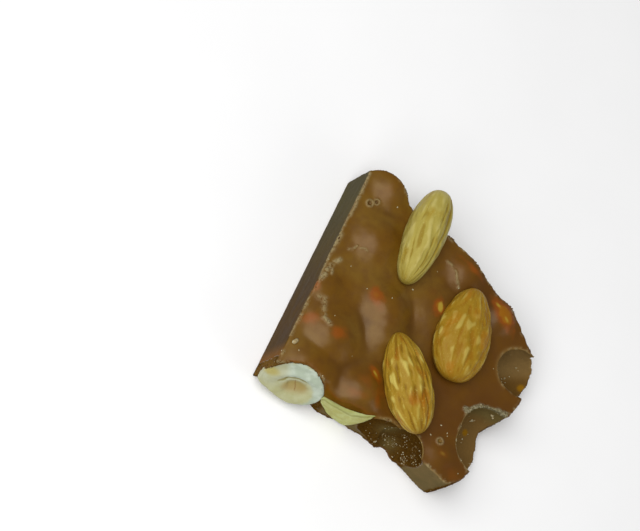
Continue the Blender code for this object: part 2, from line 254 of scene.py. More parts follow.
# Pale crumbly lines on the top: width, strength, then a run of points.
SCUFFS = (
    (0.46, 1.2, ((2.6, 26.4), (1.8, 25.1), (0.84, 23.2), (0.9, 21.7), (0.5, 20.3))),
    (0.28, 1.0, ((1.4, 24.4), (2.0, 23.3), (2.2, 22.4))),
    (0.24, 0.7, ((3.1, 29.4), (4.1, 30.0), (4.6, 31.1))),
    (0.22, 0.6, ((5.4, 31.0), (6.3, 31.4), (6.9, 31.1))),
    (0.55, 0.62, ((1.95, 16.4), (3.3, 16.8), (3.8, 15.2), (4.6, 12.9))),
    (0.40, 1.3, ((4.6, 12.9), (6.3, 12.1))),
    (0.26, 0.8, ((24.7, 40.0), (26.1, 39.4), (27.3, 38.3), (28.4, 36.9), (29.4, 35.8))),
    (0.34, 0.9, ((0.1, 47.6), (0.2, 44.5), (0.4, 42.4), (0.2, 40.5), (0.5, 38.4), (0.3, 36.4))),
    (0.24, 0.7, ((0.2, 36.4), (0.0, 33.6), (0.2, 31.4))),
    (0.62, 1.1, ((0.1, 31.4), (0.0, 29.8), (-0.1, 27.6))),
    (0.46, 0.95, ((-0.1, 27.2), (-0.1, 25.0), (-0.1, 22.8))),
    (0.26, 0.6, ((-0.1, 22.8), (0.1, 20.4))),
    (0.34, 0.85, ((-0.1, 15.3), (0.1, 12.6))),
    (0.30, 0.7, ((0.1, 11.4), (0.0, 6.4))),
)


# --- numbers --------------------------------------------------------------------
def smooth_max(a, b, width):
    reach = np.maximum(width - np.abs(a - b), 0.0)
    return np.maximum(a, b) + reach * reach / (4.0 * width)


def smooth_min(a, b, width):
    return -smooth_max(-a, -b, width)


def smooth_step(low, high, value):
    t = np.clip((value - low) / (high - low), 0.0, 1.0)
    return t * t * (3.0 - 2.0 * t)


def bell(value, width):
    return np.exp(-(value / width) ** 2)


def window(value, rise_from, rise_to, fall_from, fall_to):
    """1 between two soft edges and 0 outside them."""
    return smooth_step(rise_from, rise_to, value) * smooth_step(fall_to, fall_from, value)


class Lattice:
    """Gradient noise over many points at once, about -1 to 1."""

    def __init__(self, seed):
        rng = np.random.default_rng(seed)
        self.order = rng.permutation(256)
        slopes = rng.normal(size=(256, 3))
        self.slopes = slopes / np.linalg.norm(slopes, axis=1, keepdims=True)

    def __call__(self, points, size):
        scaled = np.asarray(points, float) / size
        cell = np.floor(scaled).astype(np.int64)
        inside = scaled - cell
        ease = inside ** 3 * (inside * (inside * 6 - 15) + 10)
        total = np.zeros(len(scaled))
        for corner in np.ndindex(2, 2, 2):
            key = cell + corner
            code = self.order[key[:, 0] & 255]
            code = self.order[(code + key[:, 1]) & 255]
            code = self.order[(code + key[:, 2]) & 255]
            slope = (self.slopes[code] * (inside - corner)).sum(1)
            share = np.prod(np.where(corner, ease, 1.0 - ease), axis=1)
            total += slope * share
        return total * 1.7


def catmull_rom(p0, p1, p2, p3, t):
    return 0.5 * (2 * p1 + (p2 - p0) * t + (2 * p0 - 5 * p1 + 4 * p2 - p3) * t * t
                  + (3 * p1 - p0 - 3 * p2 + p3) * t ** 3)


def outline_stations():
    """The closed outline as rows of top X, top Y, bottom X, bottom Y, crag, moulded."""
    stations = np.array(BREAK_STATIONS)
    last = len(stations) - 1
    rows = []
    for span in range(last):
        p0, p3 = stations[max(span - 1, 0)], stations[min(span + 2, last)]
        for step in range(6):
            rows.append((*catmull_rom(p0, stations[span], stations[span + 1], p3, step / 6), 0.0))
    rows.append((*stations[last], 0.0))
    for step in range(1, 24):
        rows.append((*(stations[last] + (stations[0] - stations[last]) * step / 24), 1.0))
    return np.array(rows)


def polygon_distance(plan, polygon):
    """Signed distance of plan points to a polygon, and the index of the nearest edge."""
    best = np.full(len(plan), 1e9)
    nearest = np.zeros(len(plan), int)
    inside = np.zeros(len(plan), bool)
    px, py = plan[:, 0], plan[:, 1]
    for index in range(len(polygon)):
        ax, ay = polygon[index - 1]
        bx, by = polygon[index]
        ex, ey = bx - ax, by - ay
        t = np.clip(((px - ax) * ex + (py - ay) * ey) / (ex * ex + ey * ey + 1e-12), 0, 1)
        square = (px - ax - t * ex) ** 2 + (py - ay - t * ey) ** 2
        closer = square < best
        best[closer] = square[closer]
        nearest[closer] = index
        if ay != by:
            crosses = (ay > py) != (by > py)
            inside ^= crosses & (px < (bx - ax) * (py - ay) / (by - ay) + ax)
    return np.sqrt(best) * np.where(inside, -1.0, 1.0), nearest


class Grid:
    """A block of points in plan millimetres, and fields sampled on it."""

    def __init__(self, low, high, pitch):
        self.low = np.array(low, float)
        self.pitch = pitch
        self.shape = tuple(np.ceil((np.array(high) - self.low) / pitch).astype(int) + 1)
        self.axes = [self.low[i] + pitch * np.arange(self.shape[i]) for i in range(3)]

    def mesh(self):
        return np.meshgrid(*self.axes, indexing="ij", sparse=True)

    def points(self, mask):
        return self.low + np.argwhere(mask) * self.pitch

    def sample(self, field, points):
        place = (points - self.low) / self.pitch
        limit = np.array(self.shape) - 2
        cell = np.clip(np.floor(place).astype(int), 0, limit)
        f = np.clip(place - cell, 0.0, 1.0)
        total = np.zeros(len(points))
        for corner in np.ndindex(2, 2, 2):
            i, j, k = (cell + corner).T
            total += field[i, j, k] * np.prod(np.where(corner, f, 1.0 - f), axis=1)
        return total

    def slope(self, field, points):
        step = self.pitch * 0.5
        return np.stack([(self.sample(field, points + shift) - self.sample(field, points - shift))
                         / (2 * step) for shift in np.eye(3) * step], axis=1)


def surface_net(grid, field, passes=3):
    """Vertices and quads of the zero surface of a field, eased towards even spacing."""
    inside = field < 0
    corners = np.zeros(tuple(n - 1 for n in field.shape), np.uint8)
    for i, j, k in np.ndindex(2, 2, 2):
        corners += inside[i:i + corners.shape[0], j:j + corners.shape[1], k:k + corners.shape[2]]
    active = (corners > 0) & (corners < 8)
    cells = np.argwhere(active)
    index = np.full(active.shape, -1, np.int64)
    index[active] = np.arange(len(cells))
    total = np.zeros((len(cells), 3))
    count = np.zeros(len(cells))
    for axis in range(3):
        others = [a for a in range(3) if a != axis]
        for u, v in np.ndindex(2, 2):
            start = np.zeros(3, int)
            start[others[0]], start[others[1]] = u, v
            end = start.copy()
            end[axis] = 1
            a = field[tuple((cells + start).T)]
            b = field[tuple((cells + end).T)]
            crossing = (a < 0) != (b < 0)
            t = np.where(crossing, a / np.where(crossing, a - b, 1.0), 0.0)
            total += np.where(crossing[:, None], start + np.eye(3)[axis] * t[:, None], 0.0)
            count += crossing
    points = grid.low + (cells + total / count[:, None]) * grid.pitch

    quads = []
    for axis in range(3):
        u, v = [(axis + 1) % 3, (axis + 2) % 3]
        lower = [slice(None)] * 3
        upper = [slice(None)] * 3
        lower[axis], upper[axis] = slice(0, -1), slice(1, None)
        for s in (lower, upper):
            s[u] = s[v] = slice(1, -1)
        a, b = inside[tuple(lower)], inside[tuple(upper)]
        for flag, order in (((a & ~b), (0, 1, 2, 3)), ((~a & b), (3, 2, 1, 0))):
            base = np.argwhere(flag)
            base[:, u] += 1
            base[:, v] += 1
            around = []
            for du, dv in ((-1, -1), (0, -1), (0, 0), (-1, 0)):
                cell = base.copy()
                cell[:, u] += du
                cell[:, v] += dv
                around.append(index[tuple(cell.T)])
            quads.append(np.stack(around, axis=1)[:, list(order)])
    quads = np.concatenate(quads)

    for _ in range(passes):
        near = np.zeros_like(points)
        weight = np.zeros(len(points))
        for i in range(4):
            for j in ((i + 1) % 4, (i + 3) % 4):
                for axis in range(3):
                    near[:, axis] += np.bincount(quads[:, i], points[quads[:, j], axis], len(points))
                weight += np.bincount(quads[:, i], minlength=len(points))
        points = 0.4 * points + 0.6 * near / np.maximum(weight, 1)[:, None]
        value = grid.sample(field, points)
        slope = grid.slope(field, points)
        step = slope * (value / np.maximum((slope ** 2).sum(1), 0.2))[:, None]
        points -= np.clip(step, -0.6 * grid.pitch, 0.6 * grid.pitch)
    return points, quads


# --- chocolate ------------------------------------------------------------------
def top_height(x, y):
    """Height of the poured top over plan points."""
    merged = np.zeros(np.broadcast(x, y).shape)
    for apex_x, apex_y, rise, spread in COVERED_NUTS:
        distance = np.hypot(x - apex_x, y - apex_y)
        merged += (rise * np.exp(-(distance / spread) ** BUMP_SHOULDER)) ** BUMP_MERGE
    wave = np.array([noise.noise(Vector((a, b, 0.0)) / WAVE_SIZE)
                     for a, b in zip(*(c.ravel() for c in np.broadcast_arrays(x, y)))])
    height = THICKNESS + merged ** (1 / BUMP_MERGE) + WAVE_HEIGHT * wave.reshape(merged.shape)
    for bubble_x, bubble_y, radius in BUBBLES:
        share = np.hypot(x - bubble_x, y - bubble_y) / radius
        height += 0.16 * bell(share - 1.0, 0.28) - 0.45 * np.exp(-(share / 0.6) ** 4)
    return height


def line_distance(x, y, run):
    best = np.full(np.broadcast(x, y).shape, 1e9)
    for (ax, ay), (bx, by) in zip(run, run[1:]):
        ex, ey = bx - ax, by - ay
        t = np.clip(((x - ax) * ex + (y - ay) * ey) / (ex * ex + ey * ey), 0, 1)
        best = np.minimum(best, np.hypot(x - ax - t * ex, y - ay - t * ey))
    return best


def ellipsoid_distance(x, y, z, ellipsoid):
    cx, cy, cz, rx, ry, rz = ellipsoid
    scaled = np.sqrt(((x - cx) / rx) ** 2 + ((y - cy) / ry) ** 2 + ((z - cz) / rz) ** 2)
    slope = np.sqrt(((x - cx) / rx ** 2) ** 2 + ((y - cy) / ry ** 2) ** 2 + ((z - cz) / rz ** 2) ** 2)
    return scaled * (scaled - 1.0) / np.maximum(slope, 1e-6)


def almond_frame(name):
    x, y, z, *_, heading, roll, _ = ALMONDS[name]
    turn = Euler((0.0, math.radians(roll), math.radians(heading - 90)), 'XYZ').to_matrix()
    return np.array((x, y, z)), np.array(turn)


def almond_distance(x, y, z, name):
    centre, turn = almond_frame(name)
    length, width, height = ALMONDS[name][3:6]
    fullness = ALMONDS[name][8]
    dx, dy, dz = x - centre[0], y - centre[1], z - centre[2]
    u, v, w = (dx * turn[0, i] + dy * turn[1, i] + dz * turn[2, i] for i in range(3))
    share = np.clip(v / length + 0.5, 0.0, 1.0)
    swell = np.sin(math.pi * share ** ALMOND_TAPER[name]) ** fullness
    across = np.sqrt((u / (width / 2)) ** 2 + (w / (height / 2)) ** 2)
    side = (across - swell) * min(width, height) / 2 * 0.92
    return np.maximum(side, np.abs(v) - length / 2)


def break_distance(grid):
    """Signed distance to the slab's sides, with the crag depth and moulded share by column."""
    stations = outline_stations()
    x, y = np.meshgrid(grid.axes[0], grid.axes[1], indexing="ij")
    plan = np.stack([x.ravel(), y.ravel()], axis=1)
    levels = np.array((0.0, 3.8, 7.6, 11.4, 15.2))
    layers = []
    for level in levels:
        lean = level / THICKNESS
        polygon = stations[:, 2:4] + (stations[:, 0:2] - stations[:, 2:4]) * lean
        layer, nearest = polygon_distance(plan, polygon)
        layers.append(layer.reshape(x.shape))
        if level == levels[2]:
            crag = stations[nearest, 4].reshape(x.shape)
            moulded = stations[nearest, 5].reshape(x.shape)
    field = np.empty(grid.shape, np.float32)
    for k, z in enumerate(grid.axes[2]):
        place = min(max(z / levels[1], 0.0), len(levels) - 1.001)
        low = int(place)
        field[:, :, k] = layers[low] + (layers[low + 1] - layers[low]) * (place - low)
    return field, crag, moulded


def facet_share(points):
    """How much a point belongs to the clean, flat splits on both sides of the front socket."""
    x, y, _ = points.T
    beside = window(x, 38.0, 38.8, 45.2, 46.0) * smooth_step(-0.5, -1.5, y)
    below = window(x, 15.0, 17.0, 27.0, 28.5) * smooth_step(1.5, 0.5, y)
    return np.maximum(beside, below * smooth_step(0.3, 1.2, points[:, 2]))


def rolled_share(points):
    """How much a point belongs to the smooth edge that rolls over above the sliver."""
    x, y, z = points.T
    return window(x, 10.5, 12.5, 24.0, 26.0) * smooth_step(7.0, 8.5, z) * smooth_step(5.0, 3.5, y)


def crag_at(points):
    return np.array([
        sum(share * noise.noise(Vector(p) / size) for size, share in zip(CRAG_SIZES, CRAG_SHARES))
        for p in points]) * 1.6


def chocolate_fields():
    """The slab's distance field, those of its parts, and the moulded share by column."""
    grid = Grid(*CHOCOLATE_BLOCK, CHOCOLATE_PITCH)
    x, y, z = grid.mesh()
    lattice = Lattice(11)
    sides, crag, moulded = break_distance(grid)
    top = top_height(x[:, :, 0], y[:, :, 0])
    tilt = np.hypot(*np.gradient(top, CHOCOLATE_PITCH))
    roof = ((z - top[:, :, None]) / np.sqrt(1 + tilt ** 2)[:, :, None]).astype(np.float32)

    band = (np.abs(sides) < 1.6) & (roof < 1.2)
    points = grid.points(band)
    columns = tuple(np.argwhere(band)[:, :2].T)
    rough = (1.0 - moulded[columns]) * (1.0 - 0.85 * facet_share(points)) * (1.0 - rolled_share(points))
    shifted = points + 0.5 * np.stack([lattice(points + s, 2.3) for s in (0.0, 31.0, 57.0)], axis=1)
    chips = 0.55 - np.abs(lattice(shifted, 1.35))
    grain = lattice(points, 0.62)
    push = (crag[columns] * crag_at(points) + rough * (0.30 * chips + 0.10 * grain - 0.12)
            + (1 - rough) * 0.04 * lattice(points, 2.0))
    sides[band] -= push

    band = np.abs(roof) < 0.8
    points = grid.points(band)
    skin = 0.035 * lattice(points, 1.7) + 0.05 * lattice(points, 4.5)
    crust = line_distance(points[:, 0], points[:, 1], CRUST)
    skin += 0.42 * bell(crust, 0.6) * (0.4 + lattice(points, 0.75))
    for width, strength, run in SCUFFS:
        near = line_distance(points[:, 0], points[:, 1], run)
        skin += 0.14 * strength * bell(near, width) * (0.4 + lattice(points, 0.8))
    roof[band] -= skin

    rolled = window(x, 10.5, 12.5, 24.5, 27.0) * smooth_step(6.0, 4.0, y)
    body = smooth_max(sides, roof, (0.35 + 1.5 * rolled).astype(np.float32))
    body = smooth_max(body, -z.astype(np.float32) + 0 * body, 0.25)

    pits = np.full(grid.shape, 1e3, np.float32)
    for name, hollow in HOLLOWS.items():
        pit = ellipsoid_distance(x, y, z, hollow)
        pits = smooth_min(pits, pit.astype(np.float32), 0.5 if name.startswith("notch") else 0.1)
    band = np.abs(pits) < 1.0
    points = grid.points(band)
    pits[band] += 0.16 * lattice(points, 2.6) + 0.07 * lattice(points, 0.8)
    body = smooth_max(body, -pits, 0.3)

    for name in ALMONDS:
        seat = (almond_distance(x, y, z, name) + 0.45).astype(np.float32)
        body = np.where(seat < 3.0, smooth_min(body, seat, MENISCUS), body)
        body = np.maximum(body, 0.04 - seat)
    split = ellipsoid_distance(x, y, z, SPLIT_NUT) + 0.25
    horn = ellipsoid_distance(x, y, z, SPLIT_NUT_HORN) - 0.15
    split = np.minimum(split, np.maximum(horn, 0.3 - x))
    body = smooth_max(body, -split.astype(np.float32), 0.2)
    band = (x > 11) & (x < 27) & (y < 5) & (z > 1.5)
    outline, front, *_ = sliver_parts(grid.points(band))
    body[band] = smooth_max(body[band], -np.maximum(outline + 0.06, -1.0 - front), 0.12)
    parts = {"sides": sides, "roof": roof, "pits": pits, "split": split.astype(np.float32)}
    return grid, body, parts, moulded


def sliver_parts(points):
    """Distances to the sliver's outline, to its two cut faces together and to the upper one
    alone, then how far along it a point is, and how far above its ridge."""
    along, rise, out = ((points - SLIVER_MIDDLE) @ np.array(SLIVER_AXES).T).T
    outline, _ = polygon_distance(np.stack([along, rise], axis=1), SLIVER_OUTLINE)
    ridge = np.interp(along, *np.array(SLIVER_RIDGE).T)
    upper = out - (1.0 + 0.18 * along + 0.58 * rise)
    lower = out - (1.0 + 0.18 * along + 0.58 * ridge) - 2.8 * (rise - ridge)
    return outline, smooth_max(upper / 1.17, lower / 2.98, 0.45), upper, along, rise - ridge


def spots(points, table, lattice):
    """Soft-edged, slightly ragged spots on the plan."""
    x, y, _ = points.T
    wobble = 0.28 * lattice(points, 1.5) + 0.14 * lattice(points, 0.7)
    total = np.zeros(len(x))
    for spot_x, spot_y, along, across, heading, strength in table:
        c, s = math.cos(math.radians(heading)), math.sin(math.radians(heading))
        u, v = (x - spot_x) * c + (y - spot_y) * s, (y - spot_y) * c - (x - spot_x) * s
        share = np.maximum(np.hypot(u / along, v / across) + wobble, 0.0)
        total = smooth_max(total, strength * np.exp(-share ** 2.2), 0.1)
    return total


def chocolate_mesh():
    grid, body, parts, moulded = chocolate_fields()
    points, quads = surface_net(grid, body)
    points[points[:, 2] < UNDERSIDE_SNAP, 2] = 0.0
    lattice = Lattice(23)
    near = {key: grid.sample(field, points) for key, field in parts.items()}
    column = np.clip(np.round((points[:, :2] - grid.low[:2]) / grid.pitch).astype(int), 0,
                     np.array(grid.shape[:2]) - 1)
    on_mould = moulded[tuple(column.T)]
    x, y, z = points.T
    rolled, on_facet = rolled_share(points), facet_share(points)

    def close_to(key, far, at):
        """1 within `at` of this surface and 0 beyond `far`."""
        return smooth_step(far, at, np.abs(near[key]))

    is_pit = close_to("pits", 0.55, 0.15)
    is_roof = close_to("roof", 0.45, 0.12) * (1 - is_pit)
    is_side = close_to("sides", 0.5, 0.2) * (1 - is_pit) * (1 - 0.8 * is_roof)
    is_floor = smooth_step(0.5, 0.1, z)
    broken = is_side * (1 - on_mould) * (1 - rolled)
    mould = is_side * on_mould * (1 - is_floor)
    rim_top = close_to("roof", 0.75, 0.15)
    rim = rim_top * np.maximum(close_to("sides", 0.9, 0.2), 0.7 * close_to("pits", 0.8, 0.2))
    rim *= smooth_step(-0.25, 0.5, lattice(points, 2.4)) * smooth_step(-0.3, 0.4, lattice(points, 0.8))
    rim *= 1 - rolled
    scuff = np.zeros(len(points))
    for width, strength, run in SCUFFS:
        scuff = np.maximum(scuff, strength * bell(line_distance(x, y, run), width))
    scuff *= smooth_step(-0.7, 0.05, lattice(points, 0.75))
    for bubble_x, bubble_y, radius in BUBBLES:
        share = np.hypot(x - bubble_x, y - bubble_y) / radius
        scuff = np.maximum(scuff, 0.6 * bell(share - 0.95, 0.3))
    scuff *= rim_top
    crust = (smooth_step(0.95, 0.45, line_distance(x, y, CRUST) + 0.25 * lattice(points, 0.7))
             * smooth_step(-1.6, -0.7, near["roof"]))
    top_edge = bell(near["roof"], 0.4)
    past_socket = smooth_step(33.5, 35.5, x) * (y < 4)
    by_notch = smooth_step(46.5, 45.0, x) * (y > 4) * (y < 11) * (x > 39)
    edge = top_edge * (bell(near["pits"], 0.24) * (past_socket + by_notch)
                       + 0.7 * bell(near["sides"], 0.24) * on_facet)
    # Painted light: a lighter tan stands in for light on the socket's lip, the bowl's bevelled rim and
    # the front wall above the split nut.
    lit_lip = (bell(near["roof"] + 0.1, 0.7) * bell(near["pits"], 0.9)
           * smooth_step(22.5, 24.5, x) * smooth_step(35.5, 33.0, x) * (y < 4))
    above_nut = (1 - is_roof) * (1 - on_mould) * smooth_step(2.6, 0.8, near["split"]) * (x < 9)
    bevel = top_edge * bell(near["pits"], 0.9) * (x > 42) * (y > 20) * (x < 49)
    stain = np.max([bell(np.linalg.norm(points - spot[:3], axis=1), spot[3]) for spot in STAINS], axis=0)
    sheen = (x > 42) * (y < 20) * smooth_step(4.5, 7.5, z) * smooth_step(12.5, 15.0, y)
    for *spot, radius, strength in SHEENS:
        sheen = np.maximum(sheen, strength * bell(np.linalg.norm(points - spot, axis=1), radius))
    above = close_to("roof", 1.2, 0.4)
    film = spots(points, FILMS, lattice)
    film = np.maximum(film, 0.6 * bell(near["split"], 0.9) * (z > 9.0))
    film = np.maximum(film, 0.3 * rolled * close_to("sides", 1.2, 0.2))
    # Painted shade: the chocolate is darkened in the valleys between the covered nuts.
    around = [top_height(x + 3.2 * math.cos(a), y + 3.2 * math.sin(a))
              for a in np.arange(6) * math.pi / 3]
    valley_shade = smooth_step(0.05, 0.75, np.mean(around, axis=0) - top_height(x, y))
    attributes = {
        "valley_shade": valley_shade * close_to("roof", 1.5, 0.5),
        "film": film * above * (1 - 0.6 * is_pit),
        "core": spots(points, CORES, lattice) * above,
        "broken": broken,
        "facet": broken * on_facet,
        "pit": is_pit * (1 - is_floor),
        "shade": smooth_step(14.0, 38.0, x + 0.25 * (24.0 - y) + 3.0 * lattice(points, 9.0)),
        "crust": crust,
        "edge": edge,
        "lit_lip": np.max([lit_lip, bevel, above_nut], axis=0),
        "dull": rolled * close_to("sides", 1.0, 0.2) + lit_lip,
        "stain": stain,
        "bowl": is_pit * (x > 40),
        # Painted shade and light: the bowl is darker towards its front and lighter at its back, and the
        # notch gets a lighter middle value.
        "deep": smooth_step(30.0, 25.0, y - 0.5 * (x - 51.0)) * np.where(y < 20.0, 0.55, 1.0),
        "sheen": is_pit * sheen,
        "dust": is_pit * (1 - is_floor) * smooth_step(26.0, 36.0, x - 0.45 * (z - 6.0)) * (y < 6),
        "rim": np.clip(rim, 0, 1),
        "scuff": scuff,
    }
    return points, quads, attributes, mould


# --- hazelnuts ------------------------------------------------------------------
def along_basin(across, rise):
    """The cut face's own axes: along the hollow between the kernel's halves, and across it."""
    turn = math.radians(SPLIT_NUT_TURN)
    return (across * math.cos(turn) + rise * math.sin(turn),
            rise * math.cos(turn) - across * math.sin(turn))


def basin_ring(p, q):
    return np.hypot(p / 4.0, (q + 1.2) / np.where(q > -1.2, 3.3, 4.2)) - 1.0


def split_nut_mesh():
    low = SPLIT_NUT[:3] - SPLIT_NUT[3:] - NUT_MARGIN
    high = SPLIT_NUT[:3] + SPLIT_NUT[3:] + NUT_MARGIN
    low[0] = SPLIT_NUT_HORN[0] - SPLIT_NUT_HORN[3] - NUT_MARGIN
    low[1] = SPLIT_NUT_FACE[1] - 3.6
    grid = Grid(low, high, NUT_PITCH)
    x, y, z = grid.mesh()
    lattice = Lattice(5)
    shell = ellipsoid_distance(x, y, z, SPLIT_NUT)
    lean = math.radians(SPLIT_NUT_LEAN)
    px, py, pz = (value - centre for value, centre in zip((x, y, z), SPLIT_NUT_FACE))
    across = px + 0 * py + 0 * pz
    rise = py * math.sin(lean) + pz * math.cos(lean) + 0 * px
    out = -py * math.cos(lean) + pz * math.sin(lean) + 0 * px
    p, q = along_basin(across, rise)
    ring = basin_ring(p, q)
    crease = 0.4 * bell(ring, 0.1) * smooth_step(-0.6, 1.0, q) * smooth_step(3.8, 2.2, p)
    basin = 0.55 * smooth_step(0.08, -0.5, ring) * smooth_step(-4.5, 1.0, q)
    crown = 0.45 * bell(ring - 0.38, 0.24) * smooth_step(-0.8, 2.0, q)
    cut = out + crease + basin - crown
    field = smooth_max(shell, cut, 0.5)
    horn = ellipsoid_distance(x, y, z, SPLIT_NUT_HORN)
    horn = smooth_max(smooth_max(horn, out + 0.1, 0.4), -0.15 - x, 0.3)
    field = smooth_min(field, horn, 0.8).astype(np.float32)
    band = np.abs(field) < 0.8
    points = grid.points(band)
    field[band] -= 0.05 * lattice(points, 1.1) + 0.10 * lattice(points, 2.6)
    points, quads = surface_net(grid, field)
    px, py, pz = (points - SPLIT_NUT_FACE).T
    across, rise = px, py * math.sin(lean) + pz * math.cos(lean)
    p, q = along_basin(across, rise)
    wobble = 0.04 * lattice(points, 1.2)
    ring = basin_ring(p, q) + wobble
    outer = ellipsoid_distance(*points.T, SPLIT_NUT)
    attributes = {
        "basin": smooth_step(0.05, -0.6, ring) * smooth_step(-4.4, 0.4, q),
        "low": smooth_step(2.0, -2.5, q),
        # The crease mask also carries a painted shadow into the nut's colour.
        "crease": bell(ring, 0.09) * smooth_step(-0.2, 1.3, q) * smooth_step(3.4, 1.8, p),
        "crescent": smooth_step(-3.5, 0.5, p) * smooth_step(-0.2, 0.25, ring),
        "skin": np.exp(-((p + 5.1) / 2.1) ** 2 - ((q - 3.2) / 1.2) ** 2)
        + 0.5 * smooth_step(0.3, 0.08, np.abs(outer)) * smooth_step(0.1, 0.6, lattice(points, 1.9)),
        "crack": bell(p - 0.1 + 0.05 * np.sin(q * 2.6), 0.085) * smooth_step(1.7, 1.4, np.abs(q + 0.1)),
    }
    return points, quads, attributes


def sliver_mesh():
    grid = Grid(*SLIVER_BLOCK, NUT_PITCH)
    lattice = Lattice(7)
    points = grid.points(np.ones(grid.shape, bool))
    outline, front, upper, along, _ = sliver_parts(points)
    depth = np.interp(along, *np.array(SLIVER_DEPTH).T)
    front = front - 0.06 * lattice(points, 1.3) - 0.10 * lattice(points, 3.0)
    value = smooth_max(outline - 0.05 + 0.03 * lattice(points, 1.5), front, 0.3)
    field = np.maximum(value, -upper - depth).reshape(grid.shape).astype(np.float32)
    points, quads = surface_net(grid, field)
    *_, above_ridge = sliver_parts(points)
    attributes = {"skin": smooth_step(-0.1, 0.5, lattice(points, 1.8)),
                  "upper": smooth_step(-0.15, 0.25, above_ridge + 0.1 * lattice(points, 1.4)),
                  "ridge": bell(above_ridge + 0.12 * lattice(points, 1.6), 0.22)}
    return points, quads, attributes


# --- almonds --------------------------------------------------------------------
def almond_mesh(name, rings=150, sides=144):
    """A nut in its own axes: +Y is the tip. Ridges run from end to end, with lumps on them."""
    length, width, height = ALMONDS[name][3:6]
    fullness = ALMONDS[name][8]
    seed, strips, strip_depth, ridges, ridge_depth, lump_depth = ALMOND_RELIEF[name]
    lattice = Lattice(seed)
    rows = np.arange(1, rings)
    share = 0.5 - 0.5 * np.cos(math.pi * rows / rings)
    swell = np.sin(math.pi * share ** ALMOND_TAPER[name]) ** fullness
    turn = 2 * math.pi * np.arange(sides) / sides
    s, a = np.meshgrid(share, turn, indexing="ij")
    w, _ = np.meshgrid(swell, turn, indexing="ij")
    ends = np.sin(math.pi * s) ** 0.5
    drift = 0.2 * lattice(np.stack([s.ravel() * 2.3, 0 * s.ravel(), 0 * s.ravel()], 1) + 9.0, 1.0)

    def around(cells, rows_along, shift):
        """Noise on the nut's skin, with this many features round it and along it."""
        reach = cells / (2 * math.pi)
        turned = a.ravel() + drift
        ring = np.stack([np.cos(turned) * reach, np.sin(turned) * reach, s.ravel() * rows_along], 1)
        return lattice(ring + shift, 1.0).reshape(s.shape)

    strip = 0.5 - np.abs(around(strips, 1.6, 11.0)) * 1.3
    ridge = around(ridges, 5.0, 33.0)
    lump = around(26, 10.0, 57.0)
    fine = around(60, 24.0, 80.0)
    high = strip_depth * strip + ridge_depth * ridge + lump_depth * lump
    course = np.degrees(a) + 7.0 * around(2, 3.0, 120.0)
    for angle, half_width, depth in ALMOND_FURROWS[name]:
        high = high - depth * bell(course - angle, half_width)
    raised = high / (0.5 * strip_depth + 0.6 * ridge_depth + 0.5 * lump_depth)
    relief = ends * (high + 0.05 * fine)
    x = width / 2 * w * np.cos(a)
    z = height / 2 * w * np.sin(a)
    round_out = np.stack([np.cos(a) / (width / 2), np.sin(a) / (height / 2)], axis=2)
    round_out /= np.linalg.norm(round_out, axis=2, keepdims=True)
    x = x + round_out[:, :, 0] * relief
    z = z + round_out[:, :, 1] * relief
    y = (s - 0.5) * length
    points = np.stack([x, y, z], axis=2).reshape(-1, 3)
    points = np.concatenate([points, [(0, -length / 2, 0), (0, length / 2, 0)]])
    row, side = np.meshgrid(np.arange(rings - 2), np.arange(sides), indexing="ij")
    after = (side + 1) % sides
    quads = np.stack([row * sides + side, (row + 1) * sides + side, (row + 1) * sides + after,
                      row * sides + after], axis=2).reshape(-1, 4)
    side = np.arange(sides)
    after = (side + 1) % sides
    blunt, tip = len(points) - 2, len(points) - 1
    final = (rings - 2) * sides
    triangles = np.concatenate([
        np.stack([np.full(sides, blunt), side, after], axis=1),
        np.stack([np.full(sides, tip), final + after, final + side], axis=1)])
    # The crest and valley masks also carry a painted highlight and painted shade into the skin's colour.
    attributes = {key: np.append(values.ravel(), (at_ends, at_ends)) for key, values, at_ends in (
        ("crest", smooth_step(0.1, 0.85, raised), 0.3),
        ("valley", smooth_step(0.0, -0.8, raised), 0.4),
        ("blot", smooth_step(0.15, 0.6, around(12, 5.0, 95.0)), 0.2),
        ("ends", 1.0 - ends, 1.0))}
    centre, turned = almond_frame(name)
    return points @ turned.T + centre, quads, triangles, attributes


# --- objects --------------------------------------------------------------------
def fill_mesh(name, points, faces):
    """A mesh from points in metres and arrays of quads or triangles."""
    mesh = bpy.data.meshes.new(name)
    loops = np.concatenate([part.ravel() for part in faces]).astype(np.int32)
    totals = np.concatenate([np.full(len(part), part.shape[1]) for part in faces])
    starts = np.concatenate([[0], np.cumsum(totals)[:-1]]).astype(np.int32)
    mesh.vertices.add(len(points))
    mesh.vertices.foreach_set("co", np.ascontiguousarray(points, np.float32).ravel())
    mesh.loops.add(len(loops))
    mesh.loops.foreach_set("vertex_index", loops)
    mesh.polygons.add(len(totals))
    mesh.polygons.foreach_set("loop_start", starts)
    mesh.update(calc_edges=True)
    mesh.validate()
    mesh.shade_smooth()
    return mesh


def to_row(points):
    return (points - ORIGIN_PLAN) * MM


def add_piece(name, points, faces, material, node=None, attributes=None):
    """One piece from points in plan millimetres, riding on the part's only body."""
    mesh = fill_mesh(name, to_row(points), faces)
    for key, values in (attributes or {}).items():
        layer = mesh.attributes.new(key, 'FLOAT', 'POINT')
        layer.data.foreach_set("value", np.clip(values, 0.0, 1.0).astype(np.float32))
    mesh.materials.append(material)
    obj = bpy.data.objects.new(name, mesh)
    bpy.context.scene.collection.objects.link(obj)
    if node:
        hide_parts(node)
    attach(obj, "root")
    return obj


# --- materials ------------------------------------------------------------------
def shown(red, green, blue):
    """The base colour that shows as these display values (0 to 255) in this scene's light."""
    def channel(value):
        value /= 255.0
        value = value / 12.92 if value <= 0.04045 else ((value + 0.055) / 1.055) ** 2.4
        return max((value - GLOSS_VEIL) / LIGHT_LEVEL, 0.003)
    return (channel(red), channel(green), channel(blue), 1.0)


